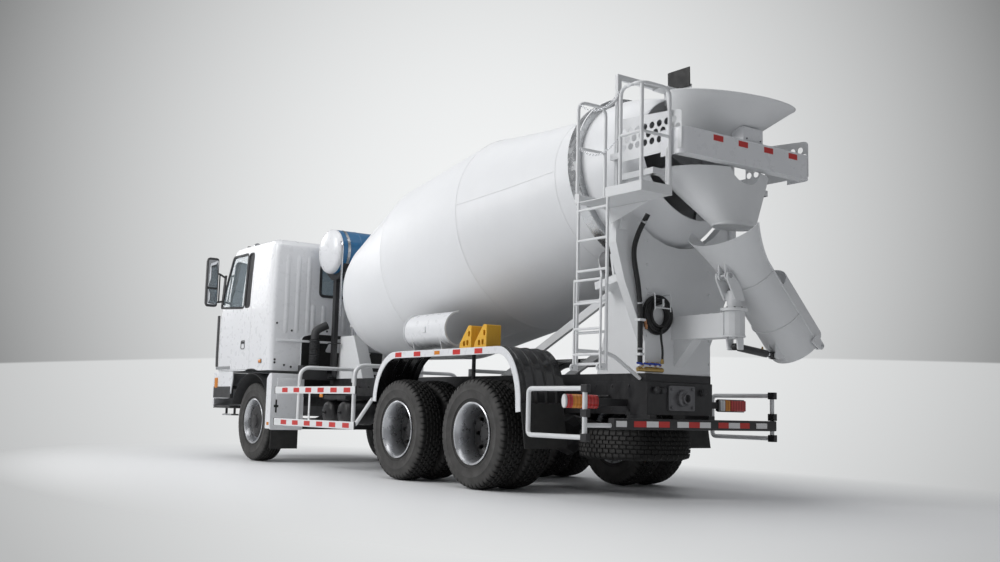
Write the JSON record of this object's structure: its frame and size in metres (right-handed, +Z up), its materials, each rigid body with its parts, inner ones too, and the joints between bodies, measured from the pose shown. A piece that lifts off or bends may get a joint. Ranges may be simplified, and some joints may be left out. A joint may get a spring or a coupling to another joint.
{
  "type": "concrete mixer truck",
  "caption": "Cab-over concrete mixer truck with a tilted rotating drum, swinging folding discharge chute, rear platform, tilting cab, opening doors and steered front wheels.",
  "frame": {"origin": "ground under the middle of the bounding box", "axes": "+Z up, the truck's nose towards -Y, its left side towards +X"},
  "size_m": [3.02, 9.471, 3.983],
  "materials": {
    "body_white": "gloss",
    "frame_black": "satin",
    "rim_silver": "satin",
    "engine_grey": "satin",
    "tyre": "matt",
    "hose_rubber": "matt",
    "tank_blue": "gloss",
    "lamp_red": "gloss",
    "chock_yellow": "matt",
    "trim_plastic": "matt",
    "panel_white": "gloss",
    "glass": "tinted"
  },
  "bodies": {
    "chassis": {"fuel_tank": "rim_silver", "front_axle": "frame_black", "rear_bogie": "frame_black", "chassis_frame": "frame_black", "subframe": "frame_black", "air_tanks": "frame_black", "rear_fender_left": "frame_black", "rear_fender_right": "frame_black", "hopper_guard": "frame_black", "front_mudguard_left": "trim_plastic", "front_mudguard_right": "trim_plastic", "engine": "engine_grey", "side_guard_left": "body_white", "side_guard_right": "body_white", "front_pedestal": "body_white", "rear_pedestal": "body_white", "collecting_hopper": "body_white", "charging_hopper": "body_white", "service_platform": "body_white", "rear_guard_frame": "body_white", "spare_chute": "body_white", "water_tank": "tank_blue", "tail_lamp_left": "lamp_red", "tail_lamp_right": "lamp_red", "wheel_chocks": "chock_yellow", "standpipe": "hose_rubber", "wash_hose_coil": "hose_rubber", "wash_hose": "hose_rubber", "spare_wheel": "hose_rubber"},
    "cab": {"cab_shell": "body_white", "windscreen": "glass", "cab_interior": "trim_plastic", "front_bumper": "panel_white"},
    "door_left": {"door_left": "body_white", "mirror_left": "trim_plastic"},
    "door_right": {"door_right": "body_white", "mirror_right": "trim_plastic"},
    "knuckle_left": {"knuckle_left": "frame_black"},
    "knuckle_right": {"knuckle_right": "frame_black"},
    "front_wheel_left": {"front_tyre_left": "tyre", "front_rim_left": "rim_silver"},
    "front_wheel_right": {"front_tyre_right": "tyre", "front_rim_right": "rim_silver"},
    "drum": {"drum": "body_white"},
    "roller_left": {"roller_left": "engine_grey"},
    "roller_right": {"roller_right": "engine_grey"},
    "chute_post": {"chute_post": "body_white"},
    "main_chute": {"main_chute": "body_white"},
    "extension_chute": {"extension_chute": "body_white"},
    "jack_barrel": {"jack_barrel": "frame_black"},
    "jack_rod": {"jack_rod": "engine_grey"},
    "ladder_step": {"ladder_step": "engine_grey"},
    "rear_wheel_1_left": {"rear_wheel_1_left_outer_tyre": "tyre", "rear_wheel_1_left_inner": "rim_silver"},
    "rear_wheel_1_right": {"rear_wheel_1_right_outer_tyre": "tyre", "rear_wheel_1_right_inner": "rim_silver"},
    "rear_wheel_2_left": {"rear_wheel_2_left_outer_tyre": "tyre", "rear_wheel_2_left_inner": "rim_silver"},
    "rear_wheel_2_right": {"rear_wheel_2_right_outer_tyre": "tyre", "rear_wheel_2_right_inner": "rim_silver"}
  },
  "joints": [
    {"name": "cab_tilt", "type": "hinge", "parent": "chassis", "child": "cab", "pos_m": [0, -4.63555, 0.74], "axis": [1, 0, 0], "range_deg": [0, 50]},
    {"name": "door_left_swing", "type": "hinge", "parent": "cab", "child": "door_left", "pos_m": [1.242, -4.58655, 2], "axis": [0, 0, -1], "range_deg": [0, 70]},
    {"name": "door_right_swing", "type": "hinge", "parent": "cab", "child": "door_right", "pos_m": [-1.242, -4.58655, 2], "axis": [0, 0, 1], "range_deg": [0, 70]},
    {"name": "steer_left", "type": "hinge", "parent": "chassis", "child": "knuckle_left", "pos_m": [0.905, -3.33555, 0.53829], "axis": [0, 0, 1], "range_deg": [-35, 35]},
    {"name": "steer_right", "type": "hinge", "parent": "chassis", "child": "knuckle_right", "pos_m": [-0.905, -3.33555, 0.53829], "axis": [0, 0, 1], "range_deg": [-35, 35]},
    {"name": "front_wheel_left_spin", "type": "hinge", "parent": "knuckle_left", "child": "front_wheel_left", "pos_m": [1.025, -3.33555, 0.53829], "axis": [1, 0, 0], "continuous": true},
    {"name": "front_wheel_right_spin", "type": "hinge", "parent": "knuckle_right", "child": "front_wheel_right", "pos_m": [-1.025, -3.33555, 0.53829], "axis": [1, 0, 0], "continuous": true},
    {"name": "rear_wheel_1_left_spin", "type": "hinge", "parent": "chassis", "child": "rear_wheel_1_left", "pos_m": [0.93, 0.59445, 0.53829], "axis": [1, 0, 0], "continuous": true},
    {"name": "rear_wheel_1_right_spin", "type": "hinge", "parent": "chassis", "child": "rear_wheel_1_right", "pos_m": [-0.93, 0.59445, 0.53829], "axis": [1, 0, 0], "continuous": true},
    {"name": "rear_wheel_2_left_spin", "type": "hinge", "parent": "chassis", "child": "rear_wheel_2_left", "pos_m": [0.93, 1.99445, 0.53829], "axis": [1, 0, 0], "continuous": true},
    {"name": "rear_wheel_2_right_spin", "type": "hinge", "parent": "chassis", "child": "rear_wheel_2_right", "pos_m": [-0.93, 1.99445, 0.53829], "axis": [1, 0, 0], "continuous": true},
    {"name": "drum_spin", "type": "hinge", "parent": "chassis", "child": "drum", "pos_m": [0, -3.33555, 1.8636], "axis": [0, 0.9836, 0.1802], "continuous": true},
    {"name": "roller_left_spin", "type": "hinge", "parent": "chassis", "child": "roller_left", "pos_m": [0.4962, 3.1786, 2.183], "axis": [0, 0.9836, 0.1802], "continuous": true},
    {"name": "roller_right_spin", "type": "hinge", "parent": "chassis", "child": "roller_right", "pos_m": [-0.4962, 3.1786, 2.183], "axis": [0, 0.9836, 0.1802], "continuous": true},
    {"name": "chute_swing", "type": "hinge", "parent": "chassis", "child": "chute_post", "pos_m": [0, 4.23945, 1.6], "axis": [0, 0, -1], "range_deg": [0, 180]},
    {"name": "chute_tilt", "type": "hinge", "parent": "chute_post", "child": "main_chute", "pos_m": [0.13, 4.23945, 1.99], "axis": [0, 1, 0], "range_deg": [0, 14]},
    {"name": "chute_fold", "type": "hinge", "parent": "main_chute", "child": "extension_chute", "pos_m": [-0.8649, 4.23945, 1.4194], "axis": [0, -1, 0], "range_deg": [0, 175]},
    {"name": "jack_swing", "type": "hinge", "parent": "chute_post", "child": "jack_barrel", "pos_m": [-0.02, 4.23945, 1.375], "axis": [0, 1, 0], "range_deg": [0, 17.3]},
    {"name": "jack_slide", "type": "slide", "parent": "jack_barrel", "child": "jack_rod", "axis": [-0.9949, 0, -0.1009], "range_m": [0, 0.151]},
    {"name": "ladder_fold", "type": "hinge", "parent": "chassis", "child": "ladder_step", "pos_m": [1.256, 3.69445, 1.15], "axis": [0, 1, 0], "range_deg": [0, 180]}
  ],
  "couplings": [
    {"joint": "steer_right", "follows": "steer_left", "ratio": 1},
    {"joint": "roller_left_spin", "follows": "drum_spin", "ratio": -7.2667},
    {"joint": "roller_right_spin", "follows": "drum_spin", "ratio": -7.2667},
    {"joint": "jack_swing", "follows": "chute_tilt", "ratio": 1.2318},
    {"joint": "jack_slide", "follows": "chute_tilt", "m_per_rad": 0.6164}
  ]
}
